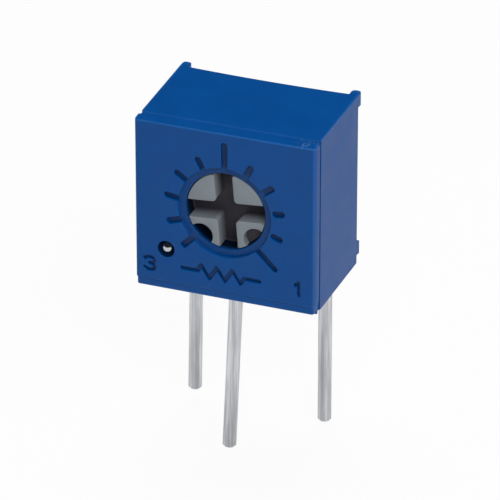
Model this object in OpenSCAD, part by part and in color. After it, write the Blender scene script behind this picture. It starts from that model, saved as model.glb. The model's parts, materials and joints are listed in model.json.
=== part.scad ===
// Single-turn side-adjust trimmer potentiometer with three through-hole leads.
// Millimetres, +Z up. The seating plane is z = 0, and the middle lead enters the
// case at the origin. The adjusting face looks towards -Y, and "depth" is measured
// from that face into the case.

/* [Case] */
// Width of the case across its front lip
case_w = 7.0; // [6.6:0.05:7.4]
// Height of the case above the board
case_h = 6.9; // [6.6:0.05:7.2]
// Depth of the case without its back standoffs
case_d = 4.55; // [4.4:0.05:5]
// Distance from the adjusting face to the middle lead
lead_front = 1.25; // [1.15:0.05:1.35]
// Thickness of the side walls of the case
wall = 0.38; // [0.3:0.02:0.45]
// Thickness of the front wall
front_wall = 0.8; // [0.75:0.01:0.85]
// Inset of each side just behind the front lip
waist = 0.07; // [0.02:0.01:0.1]
// Inset of each side at the back edge
back_inset = 0.02; // [0:0.01:0.05]
// Corner radius of the front lip
lip_r = 0.05; // [0.02:0.01:0.2]
// Depth of the front lip along the sides
lip_side_d = 0.48; // [0.4:0.02:0.6]
// Depth of the front lip along the top
lip_top_d = 0.62; // [0.4:0.02:0.7]
// Step from the top of the case down to the top of the lip
lip_drop = 0.03; // [0.01:0.01:0.05]
// Height of the lip's lower edge above the board
lip_rise = 0.12; // [0.05:0.01:0.2]
// Height of the set-back band along the foot of the lip
band_h = 0.32; // [0.2:0.02:0.4]
// How far that band is set back
band_inset = 0.05; // [0.02:0.01:0.08]
// How far the back edge of the roof bows in at its middle
edge_bow = 0.08; // [0.02:0.01:0.1]

/* [Standoffs] */
// How far the corner standoffs stand out of the back
standoff_d = 0.38; // [0.2:0.02:0.5]
// Width of a standoff
standoff_w = 0.36; // [0.3:0.02:0.5]
// Height of the upper standoffs
upper_standoff_h = 0.5; // [0.4:0.05:0.8]
// Height of the lower standoffs
lower_standoff_h = 0.6; // [0.4:0.05:0.8]
// Height of the lower standoffs' foot above the board
lower_standoff_z = 0.3; // [0.2:0.05:0.5]

/* [Adjusting port] */
// Height of the rotor's axis above the board
axis_z = 3.67; // [3.6:0.01:3.7]
// Radius of the hole in the front wall
port_r = 1.53; // [1.48:0.01:1.56]
// Radius of the sunk ring round the hole
ring_r = 1.79; // [1.7:0.01:1.84]
// Depth of the sunk ring
ring_d = 0.16; // [0.1:0.01:0.22]

/* [Scale] */
// Angle between two marks of the scale
mark_step = 27; // [25:0.5:28]
// Width of a mark
mark_w = 0.24; // [0.18:0.01:0.28]
// Depth of a mark
mark_d = 0.16; // [0.1:0.01:0.2]
// Radius that the short marks reach
mark_r = 2.35; // [2.2:0.01:2.5]
// Radius that the two long marks reach
long_mark_r = 2.84; // [2.6:0.01:2.9]

/* [Vent] */
// Place of the vent from the rotor's axis, across and up
vent_at = [-2.26, -1.89]; // [-3:0.01:0]
// Radius of the vent's mouth on the face
vent_mouth_r = 0.325; // [0.28:0.005:0.35]
// Radius of the metal ball that closes the vent
ball_r = 0.255; // [0.22:0.005:0.26]

/* [Rotor] */
// Depth of the rotor's face behind the adjusting face
rotor_sink = 0.17; // [0.16:0.01:0.3]
// Running clearance between the rotor's boss and the hole
boss_gap = 0.03; // [0.02:0.01:0.06]
// Width of the cross slot
slot_w = 0.7; // [0.5:0.02:0.8]
// Depth of the cross slot
slot_d = 0.83; // [0.5:0.01:0.9]
// Radius of the slot's rounded inner corners
slot_fillet = 0.15; // [0.05:0.01:0.2]
// Radius of the two scallops in the boss's rim
scallop_r = 0.46; // [0.4:0.01:0.5]
// Turn of the rotor from upright, anticlockwise as seen from the front
rest_turn = 4.5; // [0:0.5:10]

/* [Leads] */
// Diameter of a lead
lead_dia = 0.51; // [0.46:0.01:0.54]
// Grid that the leads stand on
grid = 2.54; // [2.5:0.01:2.56]
// Length of lead 1 below the board plane
lead_1_len = 6.45; // [4:0.05:8]
// Length of lead 2 below the board plane
lead_2_len = 6.55; // [4:0.05:8]
// Length of lead 3 below the board plane
lead_3_len = 6.1; // [4:0.05:8]
// Lean of lead 2, as it was bent
lead_2_lean = 2.9; // [0.5:0.1:5]
// Way that lead 2 leans, seen from above and anticlockwise from +X
lead_2_towards = 236; // [0:1:360]
// Lean of lead 3
lead_3_lean = 1.0; // [0.5:0.1:5]
// Way that lead 3 leans
lead_3_towards = 180; // [0:1:360]

/* [Hidden] */
$fn = 64;

// Overshoot of a cutting tool past the face that it cuts
over = 0.5;
face_y = -lead_front;
back_y = face_y + case_d;

// Fall of the sloping top of a lower standoff
standoff_slope = 0.15;
// Gap between the ring and the two marks that start clear of it
mark_gap = 0.08;
// Round pocket behind the front wall, for the rotor's shoulder and its seal
pocket_r = 2.45;
pocket_end = front_wall + 0.8;
// Square chamber behind the pocket: its floor, its roof and its half width
chamber_floor = 0.37;
chamber_roof = case_h - 0.4;
chamber_x = case_w / 2 - back_inset - wall;
// Ledges that the substrate seats on, at the roof and along the sides
ledge = 0.35;
ledge_foot = 2.0;

// Rotor, by depth from the adjusting face
boss_r = port_r - boss_gap;
shoulder_r = pocket_r - 0.06;
shoulder_front = front_wall + 0.04;
shoulder_back = shoulder_front + 0.64;
hub_r = 0.9;
hub_h = 0.14;
groove_r = 2.1;
seal_gap = 0.02;
groove_front = shoulder_front + 0.12;
groove_back = shoulder_back - 0.16;
// Scallops on the boss: the left one is deep and the right one has a near floor
scallop_depths = [0.63, 0.33];
// Stops: a lug on the front wall runs in an arc groove of the rotor
stop_travel = 270;
lug_angle = 20;
lug_r = [1.66, 1.86];
lug_h = 0.19;
lug_root = 0.05;
arc_r = [1.60, 1.92];
arc_d = 0.22;

// Element: a ceramic plate with printed tracks on its front
plate_front = 2.15;
plate_t = 0.64;
plate_gap = 0.04;
film_t = 0.03;
track_r = [1.5, 2.0];
track_half_angle = 142;
// Sweep of the conductor past each end of the horseshoe
pad_angle = 12;
hole_r = 0.27;
pad_r = 0.42;
lead_hole_z = 0.95;
mid_hole_z = 0.78;
collector_r = 0.75;
collector_w = 0.4;

// Wiper: a thin spring with fingers that reach back to the tracks
spring_t = 0.07;
spring_r = 1.3;
finger_root_r = 1.18;
finger_w = 0.22;
finger_angle = 11;
middle_touch_r = 0.06;
toe = 0.12;
toe_lift = 0.05;
touch_gap = 0.01;

// Leads: bends of their centre lines inside the case, the slots and the rounded tip.
// The outer leads start to bend right at the board plane.
lead_r = lead_dia / 2;
mid_bend = 0.45;
outer_bend = lead_hole_z;
lead_tip = 0.07;
// Centre-line radius of the slight bend where a leaning lead leaves the case
kink_r = 1;
slot_r = 0.41;
lead_end = 0.12;
solder_h = 0.1;
solder_r = [pad_r - 0.04, lead_r + 0.03];

// Vent: staked mouth, ball and the small hole behind it
stake_r = 0.2;
stake_d = 0.1;
ball_depth = ball_r + 0.01;
vent_bore_r = ball_r + 0.005;
vent_hole_r = 0.13;

// Potting: its level below the back edge, and the foot of its ribs above the board
seal_sink = 0.15;
rib_foot = 0.04;

// Puts a shape that is drawn along +Z on the rotor's axis, at a depth from the face.
// Drawn +X stays right, and drawn +Y points down.
module on_axis(depth) {
    translate([0, face_y + depth, axis_z])
        rotate([-90, 0, 0])
            children();
}

// Rounded rectangle that starts at the origin
module rounded(w, h, r) {
    translate([r, 0])
        square([w - 2 * r, h]);
    translate([0, r])
        square([w, h - 2 * r]);
    for (x = [r, w - r], y = [r, h - r])
        translate([x, y])
            circle(r);
}

// Plate that stands upright, seen from the front as a rounded rectangle
module upright(w, z0, z1, y0, y1, r) {
    translate([-w / 2, y1, z0])
        rotate([90, 0, 0])
            linear_extrude(y1 - y0)
                rounded(w, z1 - z0, r);
}

// Front lip: the face plate, and the band below it that is set back a little
module lip() {
    band_z = lip_rise + band_h;
    top_z = case_h - lip_drop;
    difference() {
        upright(case_w, lip_rise, top_z, face_y, face_y + lip_top_d, lip_r);
        translate([-case_w, face_y - over, -over])
            cube([2 * case_w, case_d, over + band_z]);
        for (side = [-1, 1])
            translate([side * case_w / 2, face_y + lip_side_d + case_d / 2, case_h / 2])
                cube([2 * waist, case_d, 2 * case_h], center = true);
    }
    upright(case_w - 2 * band_inset, lip_rise, band_z + 2 * lip_r, face_y + band_inset,
            face_y + lip_side_d, lip_r);
}

// Plan of the case behind the lip, a little wider at the back
module case_plan() {
    front_x = case_w / 2 - waist;
    back_x = case_w / 2 - back_inset;
    front = face_y + lip_side_d - lip_r;
    polygon([[-front_x, front], [front_x, front], [back_x, back_y], [-back_x, back_y]]);
}

// Four standoffs at the corners of the back, the lower ones with a sloping top
module standoffs() {
    foot = lower_standoff_z;
    top = lower_standoff_z + lower_standoff_h;
    for (side = [0, 1])
        mirror([side, 0, 0])
            translate([case_w / 2 - back_inset - standoff_w, back_y, 0]) {
                translate([0, -wall, case_h - upper_standoff_h])
                    cube([standoff_w, wall + standoff_d, upper_standoff_h]);
                rotate([90, 0, 90])
                    linear_extrude(standoff_w)
                        polygon([[-wall, foot], [standoff_d, foot],
                                 [standoff_d, top - standoff_slope], [0, top], [-wall, top]]);
            }
}

// One recessed mark of the scale, with a rounded outer end
module mark(from_r, to_r) {
    translate([-mark_w / 2, from_r, -over])
        cube([mark_w, to_r - from_r - mark_w / 2, over + mark_d]);
    translate([0, to_r - mark_w / 2, -over])
        cylinder(h = over + mark_d, r = mark_w / 2);
}

// Eleven marks over 270 degrees: the top one and the last one are long, and the
// third and fourth on the right start clear of the ring
module dial_marks() {
    for (i = [-5 : 5]) {
        to_r = (i == 0 || i == 5) ? long_mark_r : mark_r;
        from_r = (i == 3 || i == 4) ? ring_r + mark_gap : ring_r - mark_gap;
        on_axis(0)
            rotate(180 + i * mark_step)
                mark(from_r, to_r);
    }
}

// Vent through the front wall: staked mouth, bore for the ball, small hole behind
module vent() {
    translate([vent_at[0], face_y, axis_z + vent_at[1]])
        rotate([-90, 0, 0]) {
            cylinder(h = stake_d, r1 = vent_mouth_r, r2 = stake_r);
            translate([0, 0, stake_d])
                cylinder(h = ball_depth + ball_r - stake_d, r = vent_bore_r);
            cylinder(h = pocket_end, r = vent_hole_r);
        }
}

// Chamber for the element, with a ledge under the roof and along each side
module chamber() {
    front = face_y + pocket_end;
    translate([-chamber_x, face_y + plate_front, chamber_floor])
        cube([2 * chamber_x, case_d, chamber_roof - chamber_floor]);
    translate([-chamber_x, front, chamber_floor])
        cube([2 * chamber_x, case_d, ledge_foot - chamber_floor]);
    translate([ledge - chamber_x, front, chamber_floor])
        cube([2 * (chamber_x - ledge), case_d, chamber_roof - ledge - chamber_floor]);
}

// Shallow bow in the back edge of the roof, between the two upper standoffs
module roof_bow() {
    half = case_w / 2 - back_inset - standoff_w;
    bow_r = (half * half + edge_bow * edge_bow) / (2 * edge_bow);
    translate([0, back_y - edge_bow + bow_r, chamber_roof - over])
        cylinder(h = case_h, r = bow_r, $fn = 720);
}

// Slots in the floor, open to the back, that the leads drop into
module lead_slot(x, y, top) {
    translate([x, y, -over])
        cylinder(h = over + top, r = slot_r);
    translate([x - slot_r, y, -over])
        cube([2 * slot_r, back_y - y + over, over + top]);
}

module housing() color([0.10, 0.27, 0.55]) {
    difference() {
        union() {
            lip();
            linear_extrude(case_h)
                case_plan();
            standoffs();
        }
        on_axis(-over)
            cylinder(h = over + pocket_end, r = port_r);
        on_axis(-over)
            cylinder(h = over + ring_d, r = ring_r);
        on_axis(front_wall)
            cylinder(h = plate_front - front_wall, r = pocket_r);
        chamber();
        dial_marks();
        vent();
        // The top of the lip lies a little below the top of the case
        translate([-case_w, face_y - over, case_h - lip_drop])
            cube([2 * case_w, over + lip_top_d, case_h]);
        lead_slot(0, 0, mid_hole_z + lead_r + plate_gap);
        lead_slot(grid, grid, chamber_floor + wall);
        lead_slot(-grid, grid, chamber_floor + wall);
        roof_bow();
    }
    // Stop lug on the back of the front wall, below the axis
    on_axis(front_wall - lug_root)
        ring_sector(lug_r[0], lug_r[1], lug_h + lug_root, 90, lug_angle);
}

// Sector of a flat ring, centred on an angle
module ring_sector(r0, r1, h, mid, span) {
    rotate(mid - span / 2)
        rotate_extrude(angle = span)
            translate([r0, 0])
                square([r1 - r0, h]);
}

// Plan of the cross slot, with rounded inner corners
module cross_plan() {
    reach = 2 * boss_r + over;
    square([reach, slot_w], center = true);
    square([slot_w, reach], center = true);
    for (a = [0 : 90 : 270])
        rotate(a)
            translate([slot_w / 2, slot_w / 2])
                difference() {
                    square(slot_fillet);
                    translate([slot_fillet, slot_fillet])
                        circle(slot_fillet);
                }
}

module rotor() color([0.58, 0.60, 0.61]) {
    on_axis(0)
        rotate(-rest_turn)
            difference() {
                rotate_extrude()
                    polygon([[0, rotor_sink], [boss_r, rotor_sink],
                             [boss_r, shoulder_front], [shoulder_r, shoulder_front],
                             [shoulder_r, groove_front], [groove_r, groove_front],
                             [groove_r, groove_back], [shoulder_r, groove_back],
                             [shoulder_r, shoulder_back], [hub_r, shoulder_back],
                             [hub_r, shoulder_back + hub_h], [0, shoulder_back + hub_h]]);
                // Cross slot, cut to the edge of the boss
                intersection() {
                    translate([0, 0, rotor_sink - over])
                        linear_extrude(over + slot_d)
                            cross_plan();
                    cylinder(h = 2 * slot_d + over, r = boss_r, center = true);
                }
                // Scallops at the rim, at 8 and 4 o'clock of the cross
                for (i = [0, 1])
                    intersection() {
                        rotate(135 - 90 * i)
                            translate([boss_r, 0, rotor_sink - over])
                                cylinder(h = over + scallop_depths[i], r = scallop_r);
                        cylinder(h = shoulder_front, r = boss_r);
                    }
                // Arc groove for the stop lug, closed by a bridge at the top
                translate([0, 0, shoulder_front - arc_d])
                    ring_sector(arc_r[0], arc_r[1], 2 * arc_d, 90, stop_travel + lug_angle);
            }
}

// Ring seal on the rotor's shoulder
module rotor_seal() color([0.75, 0.30, 0.18]) {
    cord_r = (pocket_r - groove_r - seal_gap) / 2;
    on_axis((groove_front + groove_back) / 2)
        rotate_extrude()
            translate([groove_r + cord_r, 0])
                circle(cord_r);
}

// Side view of one finger: a strip from the spring's plate to a track, and its toe
module finger_side(from_r, to_r) {
    touch = plate_front - film_t - touch_gap;
    end_r = to_r + sign(to_r - from_r) * toe;
    polygon([[from_r, shoulder_back], [from_r, shoulder_back + spring_t],
             [to_r, touch], [end_r, touch - toe_lift],
             [end_r, touch - toe_lift - spring_t], [to_r, touch - spring_t]]);
}

// One finger, with its radius along the clock angle, clockwise from the top
module finger(clock, from_r, to_r) {
    rotate(clock - 90)
        translate([0, finger_w / 2, 0])
            rotate([90, 0, 0])
                linear_extrude(finger_w)
                    finger_side(from_r, to_r);
}

// Contact spring, pressed on the rotor's hub: three fingers ride on the resistor
// track, and one reaches over the hub to the collector in the middle
module wiper() color([0.80, 0.62, 0.30]) {
    mid_r = (track_r[0] + track_r[1]) / 2;
    on_axis(0)
        rotate(-rest_turn) {
            difference() {
                translate([0, 0, shoulder_back])
                    cylinder(h = spring_t, r = spring_r);
                translate([0, 0, shoulder_front])
                    cylinder(h = shoulder_back, r = hub_r);
            }
            for (i = [-1 : 1])
                finger(i * finger_angle, finger_root_r, mid_r);
            finger(180, finger_root_r, middle_touch_r);
        }
}

// Ceramic plate that carries the tracks, with a hole for each lead
module substrate() color([0.93, 0.93, 0.90]) {
    half = chamber_x - plate_gap;
    foot = chamber_floor + plate_gap;
    top = chamber_roof - plate_gap;
    translate([0, face_y + plate_front + plate_t, 0])
        rotate([90, 0, 0])
            linear_extrude(plate_t)
                difference() {
                    translate([-half, foot])
                        square([2 * half, top - foot]);
                    for (side = [-1, 1])
                        translate([side * grid, lead_hole_z])
                            circle(hole_r);
                    translate([0, mid_hole_z])
                        circle(hole_r);
                }
}

// A printed film on the front of the plate
module film() {
    translate([0, face_y + plate_front, 0])
        rotate([90, 0, 0])
            linear_extrude(film_t)
                children();
}

// Resistive track: a horseshoe that is open at the foot
module resistor_track() color([0.13, 0.12, 0.12]) {
    on_axis(plate_front - film_t)
        ring_sector(track_r[0], track_r[1], film_t, -90, 2 * track_half_angle);
}

// Conductor from the centre of the plate down to the middle lead
module collector_track() color([0.75, 0.76, 0.78]) {
    film()
        difference() {
            union() {
                translate([0, axis_z])
                    circle(collector_r);
                translate([-collector_w / 2, mid_hole_z])
                    square([collector_w, axis_z - mid_hole_z]);
                intersection() {
                    translate([0, mid_hole_z])
                        circle(pad_r);
                    translate([-pad_r, chamber_floor + plate_gap])
                        square(2 * pad_r);
                }
            }
            translate([0, mid_hole_z])
                circle(hole_r);
        }
}

// Point of the horseshoe, by its radius and its clock angle from the top
function on_track(r, clock) = [r * sin(clock), axis_z + r * cos(clock)];

// Conductor from one end of the horseshoe to the outer lead on that side
module end_pad(side) {
    near = track_half_angle;
    far = track_half_angle + pad_angle;
    film()
        mirror([side < 0 ? 1 : 0, 0])
            difference() {
                union() {
                    polygon([on_track(track_r[0], near), on_track(track_r[0], far),
                             on_track(track_r[1], far), [grid - pad_r, lead_hole_z],
                             [grid, lead_hole_z + pad_r], on_track(track_r[1], near)]);
                    translate([grid, lead_hole_z])
                        circle(pad_r);
                }
                translate([grid, lead_hole_z])
                    circle(hole_r);
            }
}

module end_pad_1() color([0.75, 0.76, 0.78]) {
    end_pad(1);
}

module end_pad_3() color([0.75, 0.76, 0.78]) {
    end_pad(-1);
}

// Straight leg of a lead below the board plane, with a rounded tip
module straight_leg(length) {
    rotate_extrude()
        polygon([[0, 0], [lead_r, 0], [lead_r, lead_tip - length],
                 [lead_r - lead_tip, -length], [0, -length]]);
}

// The same leg, bent to lean towards an angle seen from above
module leaning_leg(length, lean, towards) {
    rotate(towards)
        translate([kink_r, 0, 0]) {
            rotate([90, 0, 180])
                mirror([0, 1, 0])
                    rotate_extrude(angle = lean)
                        translate([kink_r, 0])
                            circle(lead_r);
            rotate([0, -lean, 0])
                translate([-kink_r, 0, 0])
                    straight_leg(length);
        }
}

// Part of a lead inside the case: up, round a bend, and level to the plate
module lead_hook(hole_z, bend, reach) {
    if (hole_z > bend)
        cylinder(h = hole_z - bend, r = lead_r);
    translate([0, bend, hole_z - bend])
        rotate([0, -90, 0])
            rotate([0, 0, -90])
                rotate_extrude(angle = 90)
                    translate([bend, 0])
                        circle(lead_r);
    translate([0, bend, hole_z])
        rotate([-90, 0, 0])
            cylinder(h = reach - bend, r = lead_r);
}

// An outer lead, which hooks forward to the plate
module outer_hook(side) {
    translate([side * grid, grid, 0])
        rotate(180)
            lead_hook(lead_hole_z, outer_bend,
                      grid - face_y - plate_front + film_t + lead_end);
}

module terminal_1() color([0.72, 0.74, 0.75]) {
    outer_hook(1);
    translate([grid, grid, 0])
        straight_leg(lead_1_len);
}

module terminal_2() color([0.72, 0.74, 0.75]) {
    lead_hook(mid_hole_z, mid_bend, face_y + plate_front + plate_t + lead_end);
    leaning_leg(lead_2_len, lead_2_lean, lead_2_towards);
}

module terminal_3() color([0.72, 0.74, 0.75]) {
    outer_hook(-1);
    translate([-grid, grid, 0])
        leaning_leg(lead_3_len, lead_3_lean, lead_3_towards);
}

// Fillet of solder round a lead, on the front of the plate
module fillet(x, z) {
    translate([x, face_y + plate_front - film_t, z])
        rotate([90, 0, 0])
            difference() {
                cylinder(h = solder_h, r1 = solder_r[0], r2 = solder_r[1]);
                cylinder(h = 3 * solder_h, r = lead_r, center = true);
            }
}

module solder_1() color([0.66, 0.67, 0.68]) {
    fillet(grid, lead_hole_z);
}

module solder_2() color([0.66, 0.67, 0.68]) {
    intersection() {
        fillet(0, mid_hole_z);
        translate([-pad_r, face_y, chamber_floor + plate_gap])
            cube([2 * pad_r, case_d, 2 * pad_r]);
    }
}

module solder_3() color([0.66, 0.67, 0.68]) {
    fillet(-grid, lead_hole_z);
}

// Epoxy behind the plate and in the slots of the floor, poured round the leads
module back_seal() color([0.16, 0.30, 0.52]) {
    front = face_y + plate_front + plate_t;
    difference() {
        union() {
            translate([-chamber_x, front, chamber_floor])
                cube([2 * chamber_x, back_y - seal_sink - front, chamber_roof - chamber_floor]);
            seal_rib(0, 0);
            seal_rib(grid, grid);
            seal_rib(-grid, grid);
        }
        terminal_1();
        terminal_2();
        terminal_3();
    }
}

// Epoxy that fills one slot of the floor
module seal_rib(x, y) {
    h = chamber_floor + plate_gap / 2 - rib_foot;
    translate([x, y, rib_foot])
        cylinder(h = h, r = slot_r);
    translate([x - slot_r, y, rib_foot])
        cube([2 * slot_r, back_y - seal_sink - y, h]);
}

module vent_ball() color([0.80, 0.81, 0.82]) {
    translate([vent_at[0], face_y + ball_depth, axis_z + vent_at[1]])
        sphere(ball_r);
}

housing();
rotor();
rotor_seal();
wiper();
substrate();
resistor_track();
collector_track();
end_pad_1();
end_pad_3();
terminal_1();
terminal_2();
terminal_3();
solder_1();
solder_2();
solder_3();
back_seal();
vent_ball();
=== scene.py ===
import json
import math

import bmesh
import bpy
from mathutils import Matrix, Vector


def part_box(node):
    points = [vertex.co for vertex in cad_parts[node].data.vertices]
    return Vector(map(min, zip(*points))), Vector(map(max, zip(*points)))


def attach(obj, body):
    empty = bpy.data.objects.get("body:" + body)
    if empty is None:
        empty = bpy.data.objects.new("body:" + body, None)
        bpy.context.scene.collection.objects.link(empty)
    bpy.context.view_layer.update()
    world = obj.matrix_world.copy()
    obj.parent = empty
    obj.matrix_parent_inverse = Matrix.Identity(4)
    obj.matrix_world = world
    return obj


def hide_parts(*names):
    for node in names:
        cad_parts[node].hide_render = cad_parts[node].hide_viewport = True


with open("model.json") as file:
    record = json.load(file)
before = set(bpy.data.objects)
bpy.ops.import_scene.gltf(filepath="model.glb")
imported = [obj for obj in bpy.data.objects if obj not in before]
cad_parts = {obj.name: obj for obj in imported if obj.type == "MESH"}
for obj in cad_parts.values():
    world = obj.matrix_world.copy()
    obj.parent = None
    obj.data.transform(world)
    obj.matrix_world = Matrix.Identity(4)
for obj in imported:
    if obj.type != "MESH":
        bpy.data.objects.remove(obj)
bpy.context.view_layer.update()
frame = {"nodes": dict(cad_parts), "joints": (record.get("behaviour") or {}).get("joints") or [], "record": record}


# The camera
# It looks down at the adjusting face from the front right, through a long lens, as the photograph does.
# The part is small, so places are given here in millimetres and shrunk to metres.
MM = 0.001
AIM = Vector((0.568, -0.112, 1.712))
AZIMUTH = math.radians(20.74)
ELEVATION = math.radians(28.46)
CAMERA_AWAY = 183
LENS = 362.8
SENSOR = 36
NEAREST_SEEN = 10


def outward(azimuth, elevation):
    """Direction from the part towards a place round it. Azimuth 0 is the adjusting face's side."""
    level = math.cos(elevation)
    return Vector((math.sin(azimuth) * level, -math.cos(azimuth) * level, math.sin(elevation)))


def looking_in(kind, data, toward, away):
    """Adds a camera or lamp on one side of the part, turned to look at it."""
    seen = bpy.data.objects.new(kind, data)
    bpy.context.scene.collection.objects.link(seen)
    seen.location = (AIM + toward * away) * MM
    seen.rotation_mode = "QUATERNION"
    seen.rotation_quaternion = (-toward).to_track_quat("-Z", "Y")
    return seen


lens = bpy.data.cameras.new("lens")
lens.lens = LENS
lens.sensor_width = SENSOR
lens.clip_start = NEAREST_SEEN * MM
bpy.context.scene.camera = looking_in("camera", lens, outward(AZIMUTH, ELEVATION), CAMERA_AWAY)
bpy.context.scene.view_settings.view_transform = "Standard"


# The floor, the backdrop and the lamps
# A floor of pale paper lies under the tip of the longest lead, inside a white surround. Soft boxes over
# and beside the part light it, and of these only the smallest is mirrored in it.


class Wire:
    """A value in a shader: arithmetic on it adds Math nodes."""

    def __init__(self, shader, socket):
        self.shader, self.socket = shader, socket

    def other(self, out):
        """Another output of the node that this value comes from."""
        return Wire(self.shader, self.socket.node.outputs[out])

    def math(self, operation, first, second):
        return self.shader.node("Math", {"operation": operation}, {0: first, 1: second})

    def __add__(self, other):
        return self.math("ADD", self, other)

    def __radd__(self, other):
        return self.math("ADD", other, self)

    def __sub__(self, other):
        return self.math("SUBTRACT", self, other)

    def __rsub__(self, other):
        return self.math("SUBTRACT", other, self)

    def __mul__(self, other):
        return self.math("MULTIPLY", self, other)

    def __rmul__(self, other):
        return self.math("MULTIPLY", other, self)


class Shader:
    """The node tree of a material or of the world."""

    def __init__(self, owner):
        self.owner = owner
        owner.use_nodes = True
        self.tree = owner.node_tree
        self.tree.nodes.clear()

    def node(self, kind, settings=None, inputs=None, out=0):
        """Adds a node: its settings first, then the values or links of its sockets."""
        made = self.tree.nodes.new("ShaderNode" + kind)
        for name, value in (settings or {}).items():
            setattr(made, name, value)
        for name, value in (inputs or {}).items():
            if isinstance(value, Wire):
                self.tree.links.new(value.socket, made.inputs[name])
            else:
                made.inputs[name].default_value = value
        return Wire(self, made.outputs[out])

    def colour(self, factor, first, second):
        """One colour where the factor is 0, the other where it is 1."""
        return self.node("Mix", {"data_type": "RGBA"}, {0: factor, 6: first, 7: second}, out=2)

    def output(self, surface, kind="OutputMaterial"):
        """Links the surface to the output, and returns the material or world."""
        end = self.tree.nodes.new("ShaderNode" + kind)
        self.tree.links.new(surface.socket, end.inputs["Surface"])
        return self.owner


WHITE = (1, 1, 1, 1)
AMBIENT = (0.02, 0.02, 0.022, 1)
FLOOR_GREY = (0.86, 0.86, 0.87, 1)
FLOOR_MIRRORED = (0.92, 0.92, 0.93, 1)
FLOOR_DIM = (0.12, 0.12, 0.125, 1)
FLOOR_GLOW = 0.93
FLOOR_SIZE = 3000
LEADS = ("terminal_1", "terminal_2", "terminal_3")

surround = Shader(bpy.data.worlds.new("surround"))
by_camera = surround.node("LightPath")
seen_white = surround.node("Background", None, {"Color": WHITE, "Strength": 1})
lit_grey = surround.node("Background", None, {"Color": AMBIENT, "Strength": 1})
bpy.context.scene.world = surround.output(
    surround.node("MixShader", None, {0: by_camera, 1: lit_grey, 2: seen_white}), "OutputWorld")

bpy.ops.object.select_all(action="DESELECT")
floor_z = min(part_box(node)[0].z for node in LEADS)
bpy.ops.mesh.primitive_plane_add(size=FLOOR_SIZE * MM, location=(0, 0, floor_z))
floor = bpy.context.active_object
floor.name = "floor"
paper = Shader(bpy.data.materials.new("paper"))
by_camera = paper.node("LightPath")
unseen = paper.colour(by_camera.other("Is Glossy Ray"), FLOOR_DIM, FLOOR_MIRRORED)
matt = paper.node("BsdfDiffuse", None, {"Color": paper.colour(by_camera, unseen, FLOOR_GREY)})
glow = paper.node("Emission", None, {"Color": WHITE, "Strength": 1})
floor.data.materials.append(paper.output(
    paper.node("MixShader", None, {0: by_camera * FLOOR_GLOW, 1: matt, 2: glow})))

LAMP_AWAY = 250


def soft_box(name, azimuth, elevation, size, level, mirrored=False):
    """A square lamp that lights what faces it to that level, where 1 shows a colour as it is."""
    lamp = bpy.data.lights.new(name, "AREA")
    lamp.size = size * MM
    lamp.energy = level * math.pi ** 2 * (LAMP_AWAY * MM) ** 2
    box = looking_in(name, lamp, outward(math.radians(azimuth), math.radians(elevation)), LAMP_AWAY)
    box.visible_glossy = mirrored


soft_box("front_box", 32, 35, 170, 0.80)
soft_box("over_box", 200, 70, 150, 0.38)
soft_box("left_box", -80, 18, 130, 0.20)
soft_box("right_box", 80, 22, 130, 0.27)
soft_box("back_box", 175, 4, 120, 0.55)
soft_box("glint_box", -118, 58, 20, 0.03, mirrored=True)


# The case
# One moulding in blue glass-filled plastic. Its face has a lip that stands proud of the waisted case
# behind it, a sunk ring and eleven marks round the rotor's hole, the vent, and the leads' numbers.
# Every rim has the small radius of its mould, and its edges are painted lighter: painted highlights, partly also
# wear from handling.
low, high = (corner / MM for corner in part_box("housing"))
FACE = low.y
TOP = high.z
HALF_W = high.x
AXIS_Z = frame["joints"][0]["pos_m"][2] / MM
CASE_DEPTH = 4.55
BACK = FACE + CASE_DEPTH
WAIST = 0.07
BACK_INSET = 0.02
LIP_DEPTH = 0.48
LIP_TOP_DEPTH = 0.62
LIP_DROP = 0.03
LIP_FOOT = 0.12
BAND_H = 0.32
BAND_INSET = 0.05
WALL = 0.38

# Slack for picking by place, how squarely a face or edge has to look one way, how far a cutting tool
# stands out of the piece, how far two solids of a join reach into each other, and the hair's breadth
# that keeps two of their faces out of one plane
TOUCH = 0.01
SQUARE = 0.9
PAST = 1
OVERLAP = 0.1
HAIR = 0.001


def only(piece):
    """Makes one object the selected and active one."""
    if bpy.context.mode != "OBJECT":
        bpy.ops.object.mode_set(mode="OBJECT")
    bpy.ops.object.select_all(action="DESELECT")
    piece.select_set(True)
    bpy.context.view_layer.objects.active = piece
    return piece


def everything(item):
    """Passes every vertex, edge or face."""
    return True


def pick(piece, kind, test):
    """Opens a piece for editing, with only the vertices, edges or faces selected that pass the test."""
    only(piece)
    bpy.ops.object.mode_set(mode="EDIT")
    bpy.ops.mesh.select_mode(type=kind)
    bpy.ops.mesh.select_all(action="DESELECT")
    mesh = bmesh.from_edit_mesh(piece.data)
    for item in {"VERT": mesh.verts, "EDGE": mesh.edges, "FACE": mesh.faces}[kind]:
        if test(item):
            item.select_set(True)
    mesh.select_flush_mode()
    bmesh.update_edit_mesh(piece.data)


def place_applied():
    """Puts the new object's place, turn and size into its mesh, and returns it."""
    bpy.ops.object.transform_apply(location=True, rotation=True, scale=True)
    return bpy.context.active_object


def block(x, y, z):
    """A box between two values of x, y and z."""
    bpy.ops.object.select_all(action="DESELECT")
    ends = list(zip(x, y, z))
    bpy.ops.mesh.primitive_cube_add(
        size=1,
        location=[(a + b) / 2 for a, b in zip(*ends)],
        scale=[b - a for a, b in zip(*ends)])
    return place_applied()


def round_edges(piece, width, steps, test):
    """Rounds the edges that pass the test."""
    pick(piece, "EDGE", test)
    bpy.ops.mesh.bevel(offset=width, offset_type="OFFSET", segments=steps, affect="EDGES")
    return only(piece)


def slice_at(piece, axis, at):
    """Cuts the faces of a piece along the plane where x, y or z (axis 0, 1 or 2) has one value."""
    pick(piece, "FACE", everything)
    normal = [0, 0, 0]
    normal[axis] = 1
    bpy.ops.mesh.bisect(plane_co=[at * part for part in normal], plane_no=normal)


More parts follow.
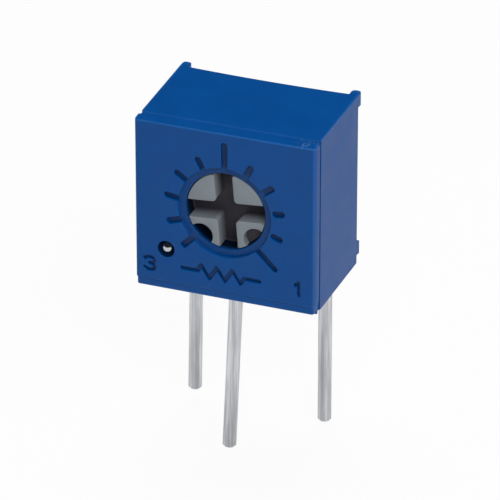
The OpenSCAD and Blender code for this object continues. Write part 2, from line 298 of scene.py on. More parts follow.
def along(edge, axis):
    """True if an edge runs along x, y or z, given as 0, 1 or 2."""
    way = edge.verts[1].co - edge.verts[0].co
    return abs(way[axis]) > SQUARE * way.length


def middle(edge):
    """Middle of an edge."""
    return (edge.verts[0].co + edge.verts[1].co) / 2


def combine(piece, other, operation):
    """Joins another solid to a piece, or cuts it away, and throws it away."""
    only(piece)
    step = piece.modifiers.new(operation, "BOOLEAN")
    step.operation = operation
    step.object = other
    step.solver = "EXACT"
    bpy.ops.object.modifier_apply(modifier=step.name)
    bpy.data.objects.remove(other)


def settle(piece, name, body, finish, nodes, flat_angle=35):
    """Shrinks a finished piece to metres, smooths it, and hands it to the body that it rides on."""
    only(piece)
    piece.name = name
    piece.data.name = name
    piece.data.transform(Matrix.Scale(MM, 4))
    bpy.ops.object.shade_smooth_by_angle(angle=math.radians(flat_angle))
    step = piece.modifiers.new("even light", "WEIGHTED_NORMAL")
    step.keep_sharp = True
    bpy.ops.object.modifier_apply(modifier=step.name)
    piece.data.materials.clear()
    piece.data.materials.append(finish)
    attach(piece, body)
    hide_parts(*nodes)


def turned(outline, steps=128):
    """A turned solid about the rotor's axis, from an outline of (radius, depth behind the face)."""
    mesh = bpy.data.meshes.new("outline")
    mesh.from_pydata([(r, FACE + depth, AXIS_Z) for r, depth in outline],
                     [(i, i + 1) for i in range(len(outline) - 1)], [])
    made = bpy.data.objects.new("turned", mesh)
    bpy.context.scene.collection.objects.link(made)
    pick(made, "VERT", everything)
    bpy.ops.mesh.spin(steps=steps, angle=2 * math.pi, center=(0, FACE, AXIS_Z), axis=(0, 1, 0))
    bpy.ops.mesh.select_all(action="SELECT")
    bpy.ops.mesh.remove_doubles(threshold=HAIR / 2)
    bpy.ops.mesh.normals_make_consistent(inside=False)
    return only(made)


def turn_on_axis(piece, degrees):
    """Turns a piece's mesh about the rotor's axis, clockwise as seen from the front."""
    centre = Matrix.Translation((0, 0, AXIS_Z))
    piece.data.transform(centre @ Matrix.Rotation(math.radians(degrees), 4, "Y") @ centre.inverted())


# The case behind the lip: narrower at its front, with a step in the roof and four standoffs
STANDOFF_D = 0.38
STANDOFF_W = 0.36
UPPER_H = 0.5
LOWER_FOOT = 0.3
LOWER_H = 0.6
LOWER_SLOPE = 0.15
BODY_X = HALF_W - BACK_INSET
BODY_FRONT = FACE + LIP_DEPTH - OVERLAP
STEP_Y = FACE + LIP_TOP_DEPTH
housing = block((-BODY_X, BODY_X), (BODY_FRONT, BACK), (0, TOP - LIP_DROP))
pick(housing, "FACE", lambda face: face.normal.y < -SQUARE)
bpy.ops.transform.resize(value=((HALF_W - WAIST) / BODY_X, 1, 1))
slice_at(housing, 1, STEP_Y)
pick(housing, "FACE", lambda face: face.normal.z > SQUARE and face.calc_center_median().y > STEP_Y)
bpy.ops.mesh.extrude_region_move(TRANSFORM_OT_translate={"value": (0, 0, LIP_DROP)})
for x in (STANDOFF_W - BODY_X, BODY_X - STANDOFF_W):
    slice_at(housing, 0, x)
for z in (LOWER_FOOT, LOWER_FOOT + LOWER_H, TOP - UPPER_H):
    slice_at(housing, 2, z)


def under_standoff(face):
    """True for the four patches of the back that the standoffs grow from."""
    at = face.calc_center_median()
    upper = at.z > TOP - UPPER_H
    lower = LOWER_FOOT < at.z < LOWER_FOOT + LOWER_H
    return face.normal.y > SQUARE and abs(at.x) > BODY_X - STANDOFF_W and (upper or lower)


def lower_shoulder(vert):
    """True for the upper corners of the two lower standoffs' ends, which slope down."""
    return vert.co.y > BACK + STANDOFF_D / 2 and abs(vert.co.z - LOWER_FOOT - LOWER_H) < TOUCH


pick(housing, "FACE", under_standoff)
bpy.ops.mesh.extrude_region_move(TRANSFORM_OT_translate={"value": (0, STANDOFF_D, 0)})
pick(housing, "VERT", lower_shoulder)
bpy.ops.transform.translate(value=(0, 0, -LOWER_SLOPE))
FLAT_ENOUGH = math.radians(0.1)
pick(housing, "FACE", everything)
bpy.ops.mesh.dissolve_limited(angle_limit=FLAT_ENOUGH)

# The back edge of the roof, which shrinkage has bowed in between the standoffs
EDGE_BOW = 0.08
BOW_TRIM = 0.05
ROOF_WALL = 0.4
CHAMBER_ROOF = TOP - ROOF_WALL
half_bow = BODY_X - STANDOFF_W - BACK_INSET
bow_r = (half_bow ** 2 + EDGE_BOW ** 2) / (2 * EDGE_BOW)
only(housing)
bpy.ops.object.select_all(action="DESELECT")
bpy.ops.mesh.primitive_cylinder_add(
    vertices=720, radius=bow_r, depth=PAST,
    location=(0, BACK - EDGE_BOW + bow_r, CHAMBER_ROOF - BOW_TRIM + PAST / 2))
bow = place_applied()
trim = block((BOW_TRIM - half_bow, half_bow - BOW_TRIM), (BACK - OVERLAP, BACK + OVERLAP), (0, 2 * TOP))
combine(bow, trim, "INTERSECT")
combine(housing, bow, "DIFFERENCE")

# The radii of the case's corners and of the standoffs' ends
CASE_ROUND = 0.03
STANDOFF_ROUND = 0.15


def outer_corner(edge):
    """True for the edges that the sides share with the roof and with the back."""
    at = middle(edge)
    roof_corner = along(edge, 1) and at.z > TOP - TOUCH
    side_corner = along(edge, 2) and abs(at.y - BACK) < TOUCH
    return (roof_corner or side_corner) and abs(at.x) > BODY_X - WAIST


def standoff_corner(edge):
    """True for the upright edges of the standoffs' ends."""
    return along(edge, 2) and middle(edge).y > BACK + STANDOFF_D - TOUCH


round_edges(housing, STANDOFF_ROUND, steps=6, test=standoff_corner)
round_edges(housing, CASE_ROUND, steps=4, test=outer_corner)

# The lip, whose upright edges are rounded further round the side than across the face, and the band
# along its foot
LIP_INSET = 0.02
LIP_X = HALF_W - LIP_INSET
LIP_BACK = FACE + LIP_DEPTH
EDGE_W = 0.1
EDGE_LONG = 3
EDGE_STEPS = 8
LIP_ROUND = 0.035
LIP_STEPS = 4
lip = block((-LIP_X, LIP_X), (FACE, FACE + LIP_DEPTH / EDGE_LONG),
            (LIP_FOOT + BAND_H, TOP - LIP_DROP - HAIR / 2))
round_edges(lip, EDGE_W, EDGE_STEPS, lambda edge: along(edge, 2) and middle(edge).y < FACE + TOUCH)
bpy.ops.transform.resize(value=(1, EDGE_LONG, 1), center_override=(0, FACE, 0))
place_applied()
round_edges(lip, LIP_ROUND, LIP_STEPS,
            lambda edge: not along(edge, 2) and middle(edge).y < LIP_BACK - TOUCH)
combine(housing, lip, "UNION")
band_front = FACE + BAND_INSET
band = block((BAND_INSET - LIP_X, LIP_X - BAND_INSET), (band_front, LIP_BACK - HAIR),
             (LIP_FOOT, LIP_FOOT + BAND_H + OVERLAP))
round_edges(band, EDGE_W, EDGE_STEPS, lambda edge: along(edge, 2) and middle(edge).y < band_front + TOUCH)
round_edges(band, LIP_ROUND, LIP_STEPS,
            lambda edge: middle(edge).z < LIP_FOOT + TOUCH and middle(edge).y < LIP_BACK - TOUCH)
combine(housing, band, "UNION")

# The neck behind the lip on both sides
NECK_LONG = 0.25
NECK_SINK = 0.05
NECK_X = HALF_W - WAIST - NECK_SINK
for side in (-1, 1):
    combine(housing, block(sorted((side * NECK_X, side * HALF_W)),
                           (LIP_BACK + HAIR, LIP_BACK + NECK_LONG), (-PAST, TOP + PAST)), "DIFFERENCE")

# The rotor's hole, the sunk ring round it, and the pocket behind the front wall
PORT_R = 1.53
RING_R = 1.79
RING_DEPTH = 0.16
RING_FILLET = 0.02
FRONT_WALL = 0.8
POCKET_R = 2.45
POCKET_END = 1.6
POCKET_OVER = 0.2
PLATE_FRONT = 2.15
RIM = 0.03
RIM_STEPS = 5
TOOL_OVER = 0.4
PORT_STEPS = 130


def rim(r, depth):
    """Points of an outline that bring it over a rounded rim, from a face down into a bore."""
    turns = [math.radians(-90 - 90 * i / RIM_STEPS) for i in range(RIM_STEPS + 1)]
    return [(r + RIM + RIM * math.cos(a), depth + RIM + RIM * math.sin(a)) for a in turns]


port = turned(
    [(0, -TOOL_OVER), (RING_R + TOOL_OVER, -TOOL_OVER)]
    + rim(RING_R, 0) + [(RING_R, RING_DEPTH - RING_FILLET), (RING_R - RING_FILLET, RING_DEPTH)]
    + rim(PORT_R, RING_DEPTH) + [(PORT_R, FRONT_WALL), (POCKET_R, FRONT_WALL)]
    + [(POCKET_R, POCKET_END + POCKET_OVER), (0, POCKET_END + POCKET_OVER)], PORT_STEPS)
combine(housing, port, "DIFFERENCE")

# The chamber for the element, with its ledges, and the slots that the leads drop into
CHAMBER_FLOOR = 0.37
CHAMBER_X = HALF_W - BACK_INSET - WALL
LEDGE = 0.35
LEDGE_FOOT = 2.0
SLOT_R = 0.41
MIDDLE_SLOT_TOP = 1.075
SLOT_TOPS = (CHAMBER_FLOOR + WALL, MIDDLE_SLOT_TOP, CHAMBER_FLOOR + WALL)
NEARLY = 0.999
SLOT_STEPS = 12
for x, start, foot, roof in ((CHAMBER_X, PLATE_FRONT, CHAMBER_FLOOR, CHAMBER_ROOF),
                             (CHAMBER_X, POCKET_END, CHAMBER_FLOOR, LEDGE_FOOT),
                             (CHAMBER_X - LEDGE, POCKET_END, CHAMBER_FLOOR, CHAMBER_ROOF - LEDGE)):
    combine(housing, block((-x, x), (FACE + start, BACK + PAST), (foot, roof)), "DIFFERENCE")
mounts = {mount["name"]: mount for mount in frame["record"]["mounts"]}


def lead_slot(lead, back, foot, roof):
    """A solid as wide as a lead's slot, round at its front, that reaches to the back."""
    root = Vector(mounts[lead]["pos_m"]) / MM
    slot = block((root.x - SLOT_R, root.x + SLOT_R), (root.y - SLOT_R, back), (foot, roof))
    return round_edges(slot, SLOT_R * NEARLY, SLOT_STEPS,
                       lambda edge: along(edge, 2) and middle(edge).y < back - TOUCH)


for lead, slot_top in zip(LEADS, SLOT_TOPS):
    combine(housing, lead_slot(lead, BACK + PAST, -PAST, slot_top), "DIFFERENCE")

# The eleven marks, each cut by a round-ended tool that flares at the face. The middle one and the last
# one clockwise are long, and the two before the last stop short of the ring.
MARK_STEP = 27
MARK_W = 0.24
MARK_D = 0.16
MARK_FILLET = 0.02
SHORT_MARK = 2.35
LONG_MARK = 2.84
CLEAR_START = RING_R + 0.08
FLARE_STEPS = 6
FLARE_TURN = math.radians(16)
FLARE_OVER = 0.2


def flare(tool, width):
    """Widens a tool towards the face by the rim's radius, and brings it out past the face."""
    pick(tool, "FACE", lambda face: face.normal.y < -SQUARE)
    wide = width / 2
    for i in range(1, FLARE_STEPS + 1):
        turn = FLARE_TURN * i
        new_wide = width / 2 + RIM * (1 - math.cos(turn))
        rise = RIM * (math.sin(turn) - math.sin(turn - FLARE_TURN)) if i < FLARE_STEPS else FLARE_OVER
        bpy.ops.mesh.extrude_region_move(TRANSFORM_OT_translate={"value": (0, -rise, 0)})
        bpy.ops.transform.resize(value=(new_wide / wide, 1, new_wide / wide))
        wide = new_wide


def mark_tool(start, end, both_ends):
    """A tool for one mark, upright above the axis, that reaches from one radius to another."""
    bpy.ops.object.select_all(action="DESELECT")
    reach = end - MARK_W / 2
    bpy.ops.mesh.primitive_cylinder_add(
        vertices=32, radius=MARK_W / 2, depth=MARK_D - RIM,
        location=(0, FACE + (MARK_D + RIM) / 2, AXIS_Z + reach), rotation=(math.radians(90), 0, 0))
    tool = place_applied()
    round_edges(tool, MARK_FILLET, steps=2, test=lambda edge: middle(edge).y > FACE + MARK_D - TOUCH)
    flare(tool, MARK_W)
    pick(tool, "FACE", everything)
    bpy.ops.mesh.bisect(plane_co=(0, 0, AXIS_Z + reach), plane_no=(0, 0, 1), clear_inner=True, use_fill=True)
    pick(tool, "FACE", lambda face: face.normal.z < -SQUARE
         and face.calc_center_median().z < AXIS_Z + reach + HAIR)
    if not both_ends:
        bpy.ops.mesh.extrude_region_move(TRANSFORM_OT_translate={"value": (0, 0, start - reach)})
        return only(tool)
    half_way = (start + MARK_W / 2 + reach) / 2
    bpy.ops.mesh.extrude_region_move(TRANSFORM_OT_translate={"value": (0, 0, half_way - reach)})
    bpy.ops.mesh.delete(type="FACE")
    only(tool)
    bpy.context.scene.cursor.location = (0, 0, AXIS_Z + half_way)
    bpy.ops.object.origin_set(type="ORIGIN_CURSOR")
    step = tool.modifiers.new("other end", "MIRROR")
    step.use_axis = (False, False, True)
    step.merge_threshold = HAIR / 2
    bpy.ops.object.modifier_apply(modifier=step.name)
    return place_applied()


for i in range(-5, 6):
    long, clear = i in (0, 5), i in (3, 4)
    start = CLEAR_START if clear else RING_R - OVERLAP
    tool = mark_tool(start, LONG_MARK if long else SHORT_MARK, clear)
    turn_on_axis(tool, i * MARK_STEP)
    combine(housing, tool, "DIFFERENCE")

# The vent: a flared and staked mouth, a bore for the ball and a small hole behind it. Each step has its
# radius at the front, its radius at the back, and the depths where it starts and ends.
VENT = Vector((-2.26, 0, AXIS_Z - 1.89))
BALL_R = 0.255
BORE_R = BALL_R + 0.005
for r_front, r_back, start, end in ((0.345, 0.325, -0.02, 0.02), (0.325, 0.32, 0.02, 0.14),
                                    (0.32, BORE_R, 0.14, 0.3), (BORE_R, BORE_R, 0.3, 2 * BALL_R + 0.01),
                                    (0.13, 0.13, 0.4, POCKET_END)):
    bpy.ops.object.select_all(action="DESELECT")
    bpy.ops.mesh.primitive_cone_add(
        vertices=64, radius1=r_back, radius2=r_front, depth=end - start + HAIR / 5,
        location=(VENT.x, FACE + (start + end) / 2, VENT.z), rotation=(math.radians(90), 0, 0))
    combine(housing, place_applied(), "DIFFERENCE")

# The engraved signs: the numbers of terminals 3 and 1, and a resistor's sign between them
STROKE = 0.15
THIN_STROKE = 0.12
STROKE_D = 0.12


def stroke_tool(start, end, width):
    """A tool for one straight stroke with round ends, between two points given as (x, z)."""
    start, end = Vector(start), Vector(end)
    way = end - start
    bpy.ops.object.select_all(action="DESELECT")
    bpy.ops.mesh.primitive_cylinder_add(vertices=24, radius=width / 2, depth=STROKE_D - RIM,
                                        location=(0, 0, 0))
    tool = bpy.context.active_object
    tool.data.transform(Matrix.Rotation(math.radians(90), 4, "X"))
    flare(tool, width)
    pick(tool, "VERT", lambda vert: vert.co.z > HAIR / 10)
    bpy.ops.transform.translate(value=(0, 0, way.length))
    only(tool)
    tool.data.transform(Matrix.Translation((start.x, FACE + (STROKE_D + RIM) / 2, start.y))
                        @ Matrix.Rotation(math.atan2(way.x, way.y), 4, "Y"))
    return tool


def engrave(points, width):
    """Cuts a line of straight strokes into the face."""
    whole = stroke_tool(points[0], points[1], width)
    for start, end in zip(points[1:], points[2:]):
        combine(whole, stroke_tool(start, end, width), "UNION")
    combine(housing, whole, "DIFFERENCE")


def bowl(x, z, wide, tall, start, end, steps=8):
    """Points of a curved stroke: an arc of an ellipse between two angles in degrees."""
    turns = [math.radians(start + (end - start) * i / steps) for i in range(steps + 1)]
    return [(x + wide * math.cos(a), z + tall * math.sin(a)) for a in turns]


THREE = (-2.925, 1.085)
BOWL = (0.205, 0.13)
upper_bowl = bowl(THREE[0], THREE[1] + BOWL[1], *BOWL, 155, -90)
lower_bowl = bowl(THREE[0], THREE[1] - BOWL[1], *BOWL, 90, -155)
engrave(upper_bowl + lower_bowl[1:], THIN_STROKE)
ONE = (2.865, 1.11)
ONE_HALF = 0.25
ONE_FLAG = 0.14
engrave([(ONE[0] - ONE_FLAG, ONE[1] + ONE_FLAG), (ONE[0], ONE[1] + ONE_HALF), (ONE[0], ONE[1] - ONE_HALF)],
        THIN_STROKE)
SIGN = (-0.15, 1.13)
SIGN_HALF = 1.5
TEETH = 6
TEETH_HALF = 0.9
TOOTH_H = 0.24
teeth = [(SIGN[0] - TEETH_HALF + 2 * TEETH_HALF * (i + 0.5) / TEETH, SIGN[1] + TOOTH_H * (-1) ** i)
         for i in range(TEETH)]
engrave([(SIGN[0] - SIGN_HALF, SIGN[1]), (SIGN[0] - TEETH_HALF, SIGN[1])] + teeth
        + [(SIGN[0] + TEETH_HALF, SIGN[1]), (SIGN[0] + SIGN_HALF, SIGN[1])], STROKE)

# The blue moulding: its colours on flat faces, on rubbed edges, on scuffs and in the recesses
BLUE = (0.0006, 0.077, 0.31, 1)
BLUE_DEEP = (0.0005, 0.070, 0.285, 1)
BLUE_EDGE = (0.02, 0.13, 0.42, 1)
SCUFF = (0.16, 0.30, 0.56, 1)
BLUE_SHADE = (0.0003, 0.022, 0.095, 1)
BLUE_HOLE_SHADE = (0.0005, 0.006, 0.022, 1)
BLUE_VENT_SHADE = (0.001, 0.013, 0.06, 1)
MOTTLED = (0.35, 0.65)
CLOUD_GRAIN = 900


def material(name):
    """A new material's shader, with the place on the piece in metres."""
    shader = Shader(bpy.data.materials.new(name))
    shader.place = shader.node("TexCoord", out="Object")
    return shader


def apart(vector):
    """A vector's x, y and z."""
    x = vector.shader.node("SeparateXYZ", None, {0: vector})
    return x, x.other("Y"), x.other("Z")


def noise(shader, scale, detail=2, stretch=None):
    """Noise over a piece, its scale in cells a metre."""
    place = shader.place
    if stretch:
        place = shader.node("Mapping", None, {"Vector": place, "Scale": stretch})
    return shader.node("TexNoise", None, {"Vector": place, "Scale": scale, "Detail": detail})


def steps_of(value, low, high):
    """0 below one value, 1 above another, and a smooth rise between them."""
    return value.shader.node("MapRange", {"interpolation_type": "SMOOTHSTEP"},
                             {"Value": value, "From Min": low, "From Max": high})


def in_mm(value, low, high):
    """The same rise over a distance, between two values in millimetres."""
    return steps_of(value, low * MM, high * MM)


def from_line(first, second):
    """Distance from the line where both values are 0."""
    return first.shader.node("Math", {"operation": "SQRT"}, {0: first * first + second * second})


def near(first, second, width):
    """1 on a straight edge, given by the distances to its two faces, and 0 further than a width from it."""
    return 1 - in_mm(from_line(first, second), 0.3 * width, width)


def highest(values):
    """The highest of several values."""
    best = values[0]
    for value in values[1:]:
        best = best.math("MAXIMUM", best, value)
    return best


def rough_surface(speck, depth):
    """The normals of a surface that a pattern roughens to some depth."""
    return speck.shader.node("Bump", None, {"Height": speck, "Distance": depth * MM, "Strength": 1})


def plastic(name, base, deep, grain, grain_depth):
    """The shader of a cloudy, grained, moulded plastic, with its colour and its normals."""
    shader = material(name)
    shader.cloud = noise(shader, CLOUD_GRAIN)
    shader.speck = noise(shader, grain)
    colour = shader.colour(steps_of(shader.cloud * 0.6 + shader.speck * 0.4, *MOTTLED), deep, base)
    return shader, colour, rough_surface(shader.speck, grain_depth)


shader, colour, bump = plastic("blue_moulding", BLUE, BLUE_DEEP, 26000, 0.003)
x, y, z = apart(shader.place)
out = shader.node("Math", {"operation": "ABSOLUTE"}, {0: x})
behind_face = y - FACE * MM
under_roof = z - TOP * MM

# Edges painted lighter, mostly as painted highlights along the rounded rims and partly as wear from handling, and
# scuffs on the right end of the lip's top
highlit_and_worn = highest([
    near(behind_face, z - (TOP - LIP_DROP) * MM, 0.07) * 0.8,
    near(behind_face, out - LIP_X * MM, 0.14) * 0.4,
    near(out - BODY_X * MM, under_roof, 0.13) * 0.6,
    near(behind_face, z - (LIP_FOOT + BAND_H) * MM, 0.06),
    near(behind_face - BAND_INSET * MM, z - LIP_FOOT * MM, 0.07),
    near(behind_face - LIP_TOP_DEPTH * MM, under_roof, 0.06) * 0.6,
    in_mm(y, BACK + 0.05, BACK + STANDOFF_D) * 0.6])
colour = shader.colour(highlit_and_worn * (0.6 + shader.cloud * 0.5), colour, BLUE_EDGE)
right_top = in_mm(x, 2.5, 2.9) * in_mm(under_roof, -0.1, -0.04)
on_lip = 1 - in_mm(behind_face, 0.5, 0.66)
patchy = steps_of(noise(shader, 7000, 4), 0.5, 0.66)
colour = shader.colour(right_top * on_lip * patchy * 0.35, colour, SCUFF)

# Painted shade: the recesses of the face are painted darker, and the hole behind the ring is painted darker still
from_axis = from_line(x, z - AXIS_Z * MM)
in_face = (in_mm(z, 0.5, 0.52) * (1 - in_mm(under_roof, -0.3, -0.28)) * (1 - in_mm(out, 3.3, 3.32))
           * (1 - in_mm(behind_face, FRONT_WALL, FRONT_WALL + 0.02)))
in_ring = 1 - in_mm(from_axis, RING_R, RING_R + RIM)
colour = shader.colour(in_mm(behind_face, 0.02, 0.15) * in_face * (0.9 - in_ring * 0.45), colour, BLUE_SHADE)
colour = shader.colour(in_mm(behind_face, 0.17, 0.42) * in_face * in_ring, colour, BLUE_HOLE_SHADE)
# Painted shade in the vent's mouth round the ball
from_vent = from_line(x - VENT.x * MM, z - VENT.z * MM)
in_vent = in_mm(behind_face, 0.005, 0.05) * (1 - in_mm(from_vent, 0.35, 0.37))
colour = shader.colour(in_vent, colour, BLUE_VENT_SHADE)
surface = shader.node("BsdfPrincipled", None, {
    "Base Color": colour, "Roughness": 0.42 + shader.cloud * 0.12,
    "Specular IOR Level": 0.4, "Normal": bump})
settle(housing, "case_shell", "case", shader.output(surface), ["housing"])


# The rotor
# A light grey moulding. Its boss runs in the case's hole, with a cross slot for the adjusting tool and
# two notches in its rim. Behind the wall it widens to a shoulder with the groove of the ring seal.
TURN = 4.5
ROTOR_SINK = 0.17
ROTOR_FACE = FACE + ROTOR_SINK
BOSS_R = 1.5
SLOT_W = 0.7
SLOT_DEPTH = 0.83
SLOT_FILLET = 0.15
SLOT_FILLET_STEPS = 7
SHOULDER_R = 2.39
SHOULDER_FRONT = 0.84
SHOULDER_BACK = 1.48
GROOVE_R = 2.1
GROOVE = (SHOULDER_FRONT + 0.12, SHOULDER_BACK - 0.16)
HUB = (0.9, SHOULDER_BACK + 0.14)
rotor = turned(
    [(0, ROTOR_SINK), (BOSS_R, ROTOR_SINK), (BOSS_R, SHOULDER_FRONT), (SHOULDER_R, SHOULDER_FRONT),
     (SHOULDER_R, GROOVE[0]), (GROOVE_R, GROOVE[0]), (GROOVE_R, GROOVE[1]), (SHOULDER_R, GROOVE[1]),
     (SHOULDER_R, SHOULDER_BACK), (HUB[0], SHOULDER_BACK), (HUB[0], HUB[1]), (0, HUB[1])])

# The cross slot: two crossed bars with fillets between them, trimmed round a little past the boss
TRIM_R = BOSS_R + 0.02
TRIM_STEPS = 96
slot_y = (ROTOR_FACE - TOOL_OVER, ROTOR_FACE + SLOT_DEPTH)
arms = block((-2 * BOSS_R, 2 * BOSS_R), slot_y, (AXIS_Z - SLOT_W / 2, AXIS_Z + SLOT_W / 2))
upright = block((-SLOT_W / 2, SLOT_W / 2), slot_y, (AXIS_Z - 2 * BOSS_R, AXIS_Z + 2 * BOSS_R))
combine(arms, upright, "UNION")


def inner_corner(edge):
    """True for the four corners between the crossed bars."""
    at = middle(edge)
    return along(edge, 1) and math.hypot(at.x, at.z - AXIS_Z) < BOSS_R


round_edges(arms, SLOT_FILLET, SLOT_FILLET_STEPS, inner_corner)
boss = turned([(0, -PAST), (TRIM_R, -PAST), (TRIM_R, SHOULDER_BACK), (0, SHOULDER_BACK)], TRIM_STEPS)
combine(arms, boss, "INTERSECT")
combine(rotor, arms, "DIFFERENCE")

# The two notches, each with its angle clockwise from the top and its depth
NOTCH_R = 0.46
for clock, depth in ((-135, 0.63), (135, 0.33)):
    bpy.ops.object.select_all(action="DESELECT")
    angle = math.radians(clock)
    bpy.ops.mesh.primitive_cylinder_add(
        vertices=64, radius=NOTCH_R, depth=TOOL_OVER + depth,
        location=(BOSS_R * math.sin(angle), ROTOR_FACE + (depth - TOOL_OVER) / 2,
                  AXIS_Z + BOSS_R * math.cos(angle)),
        rotation=(math.radians(90), 0, 0))
    combine(rotor, place_applied(), "DIFFERENCE")
ROTOR_ROUND = 0.025


def boss_rim(edge):
    """True for the sharp edges round the tops of the boss's four quadrants."""
    fronts = [face.normal.y < -SQUARE for face in edge.link_faces]
    on_top = all(abs(vert.co.y - ROTOR_FACE) < HAIR for vert in edge.verts)
    return on_top and len(fronts) == 2 and fronts[0] != fronts[1] and edge.calc_face_angle() > 1


round_edges(rotor, ROTOR_ROUND, steps=3, test=boss_rim)
turn_on_axis(rotor, -TURN)

# The grey moulding, with painted shade: the slot and the notches are painted darker with depth, their floors
# sooner than their walls, and every face that doesn't face the front is painted a little darker throughout
GREY = (0.295, 0.335, 0.368, 1)
GREY_DEEP = (0.27, 0.308, 0.34, 1)
GREY_SHADE_PAINTED = (0.04, 0.037, 0.046, 1)
WALL_SHADE_SHARE = 0.3
shader, colour, bump = plastic("grey_moulding", GREY, GREY_DEEP, 22000, 0.004)
sunk = apart(shader.place)[1] - ROTOR_FACE * MM
facing_front = 0 - apart(shader.node("TexCoord", out="Normal"))[1]
floors = steps_of(facing_front, 0.7, 0.95)
colour = shader.colour(WALL_SHADE_SHARE - steps_of(facing_front, 0.2, 0.8) * WALL_SHADE_SHARE, colour, GREY_SHADE_PAINTED)
colour = shader.colour(highest([in_mm(sunk, 0.04, 0.95), floors * in_mm(sunk, 0.05, 0.36)]), colour, GREY_SHADE_PAINTED)
surface = shader.node("BsdfPrincipled", None, {
    "Base Color": colour, "Roughness": 0.5 + shader.speck * 0.1,
    "Specular IOR Level": 0.4, "Normal": bump})
settle(rotor, "rotor_knob", "rotor_body", shader.output(surface), ["rotor"])


# The leads
# Round tinned copper wire, drawn, cut and bent. Each hooks into the case and is soldered to the plate.
# Their packed forms are right, so they keep them and get streaks along the wire.
TIN = (0.80, 0.81, 0.83, 1)
TIN_DARK = (0.52, 0.53, 0.54, 1)


def give(nodes, finish):
    """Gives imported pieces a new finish."""
    for name in nodes:
        piece = frame["nodes"][name]
        piece.data.materials.clear()
        piece.data.materials.append(finish)


shader = material("tinned_wire")
streaks = noise(shader, 1, 3, (9000, 9000, 260))
smear = noise(shader, 1, 2, (2500, 2500, 500))
colour = shader.colour(steps_of(streaks * 0.7 + smear * 0.3, 0.38, 0.62), TIN_DARK, TIN)
surface = shader.node("BsdfPrincipled", None, {
    "Base Color": colour, "Metallic": 1.0, "Roughness": 0.28 + smear * 0.2,
    "Normal": rough_surface(streaks, 0.003)})
give(LEADS, shader.output(surface))


# The vent's ball
# A small steel ball, ground and polished. It is pressed into the vent once the case is filled, and the
# plastic of the vent's mouth is staked over it.
STEEL = (0.62, 0.63, 0.65, 1)
STEEL_RUBBED = (0.5, 0.51, 0.53, 1)
bpy.ops.object.select_all(action="DESELECT")
bpy.ops.mesh.primitive_uv_sphere_add(segments=64, ring_count=32, radius=BALL_R,
                                     location=(VENT.x, FACE + BALL_R + 0.01, VENT.z))
ball = place_applied()
shader = material("ball_steel")
rub = noise(shader, 12000, 3)
surface = shader.node("BsdfPrincipled", None, {
    "Base Color": shader.colour(rub, STEEL_RUBBED, STEEL), "Metallic": 1.0, "Roughness": 0.05 + rub * 0.1})
settle(ball, "steel_ball", "case", shader.output(surface), ["vent_ball"], flat_angle=180)


# The epoxy
# Blue epoxy, poured in behind the plate and round the leads, and cured. It climbs the walls a little,
# and fills the three slots of the floor.
PLATE_THICK = 0.64
SEAL_SINK = 0.15
SEAL_FRONT = FACE + PLATE_FRONT + PLATE_THICK
SEAL_BACK = BACK - SEAL_SINK
RIB_FOOT = 0.04
MENISCUS = 0.1
EPOXY = (0.003, 0.065, 0.235, 1)
EPOXY_DEEP = (0.002, 0.055, 0.20, 1)
epoxy = block((-CHAMBER_X, CHAMBER_X), (SEAL_FRONT, SEAL_BACK), (CHAMBER_FLOOR, CHAMBER_ROOF))
for lead in LEADS:
    combine(epoxy, lead_slot(lead, SEAL_BACK, RIB_FOOT, CHAMBER_FLOOR + OVERLAP), "UNION")
pick(epoxy, "FACE", everything)
bpy.ops.mesh.dissolve_limited(angle_limit=FLAT_ENOUGH)
pick(epoxy, "FACE",
     lambda face: face.normal.y > SQUARE and face.calc_center_median().y > SEAL_BACK - TOUCH)
bpy.ops.transform.translate(value=(0, MENISCUS, 0))

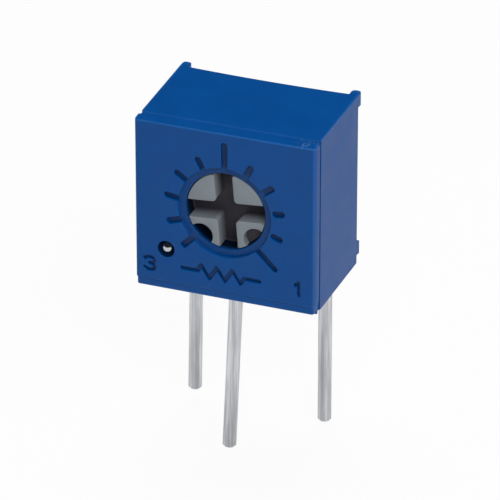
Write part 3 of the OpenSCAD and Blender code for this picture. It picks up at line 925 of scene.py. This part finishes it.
# Insets from the wall inwards, each with its width and the share of the meniscus that it falls
for width, fall in ((0.03, 0.4), (0.04, 0.28), (0.06, 0.18), (0.08, 0.1), (0.1, 0.04)):
    bpy.ops.mesh.inset(thickness=width, depth=-fall * MENISCUS, use_even_offset=True)
only(epoxy)
shader = material("blue_epoxy")
cloud = noise(shader, 500, 3)
surface = shader.node("BsdfPrincipled", None, {
    "Base Color": shader.colour(steps_of(cloud, *MOTTLED), EPOXY_DEEP, EPOXY),
    "Roughness": 0.16 + cloud * 0.1, "Normal": rough_surface(noise(shader, 900, 1), 0.015)})
settle(epoxy, "epoxy_fill", "case", shader.output(surface), ["back_seal"])


# The ring seal
# A ring of red-brown rubber, moulded and snapped into the rotor's groove, where it wipes the pocket's
# wall. Its packed form is right and stays.
FINE_GRAIN = 0.003


def grained(name, base, deep, rough, metal, grain, stretch=None):
    """A finish with a grain in its colour, roughness and surface."""
    shader = material(name)
    speck = noise(shader, grain, 3, stretch)
    return shader.output(shader.node("BsdfPrincipled", None, {
        "Base Color": shader.colour(steps_of(speck, *MOTTLED), deep, base),
        "Roughness": rough + speck * 0.15, "Metallic": metal,
        "Normal": rough_surface(speck, FINE_GRAIN)}))


give(["rotor_seal"], grained("seal_rubber", (0.42, 0.10, 0.04, 1), (0.34, 0.07, 0.03, 1), 0.45, 0, 6000))


# The contact spring
# Stamped from thin spring brass, bent, and pressed on the back of the rotor, which it turns with. Its
# packed form stays, with the lines of the rolled strip.
give(["wiper"], grained("spring_metal", (0.72, 0.52, 0.24, 1), (0.58, 0.40, 0.18, 1), 0.22, 1,
                        1, (9000, 900, 9000)))


# The ceramic plate
# White alumina, pressed and fired, with a matt grain. It lies on the chamber's ledges behind the rotor,
# and its packed form stays.
give(["substrate"], grained("ceramic", (0.80, 0.80, 0.77, 1), (0.70, 0.70, 0.66, 1), 0.55, 0, 14000))


# The printed films
# The resistive horseshoe is printed on the plate in black and the conductors to the leads in silver,
# and both are fired on. Their packed forms stay.
give(["resistor_track"],
     grained("resistor_film", (0.03, 0.03, 0.03, 1), (0.012, 0.012, 0.012, 1), 0.4, 0, 20000))
give(["collector_track", "end_pad_1", "end_pad_3"],
     grained("silver_film", (0.74, 0.73, 0.71, 1), (0.55, 0.54, 0.52, 1), 0.35, 1, 20000))


# The solder
# Bright fillets of soft solder that flowed round the leads where they come through the plate. Their
# packed forms stay.
give(["solder_1", "solder_2", "solder_3"],
     grained("solder", (0.66, 0.66, 0.67, 1), (0.50, 0.50, 0.52, 1), 0.18, 1, 5000))
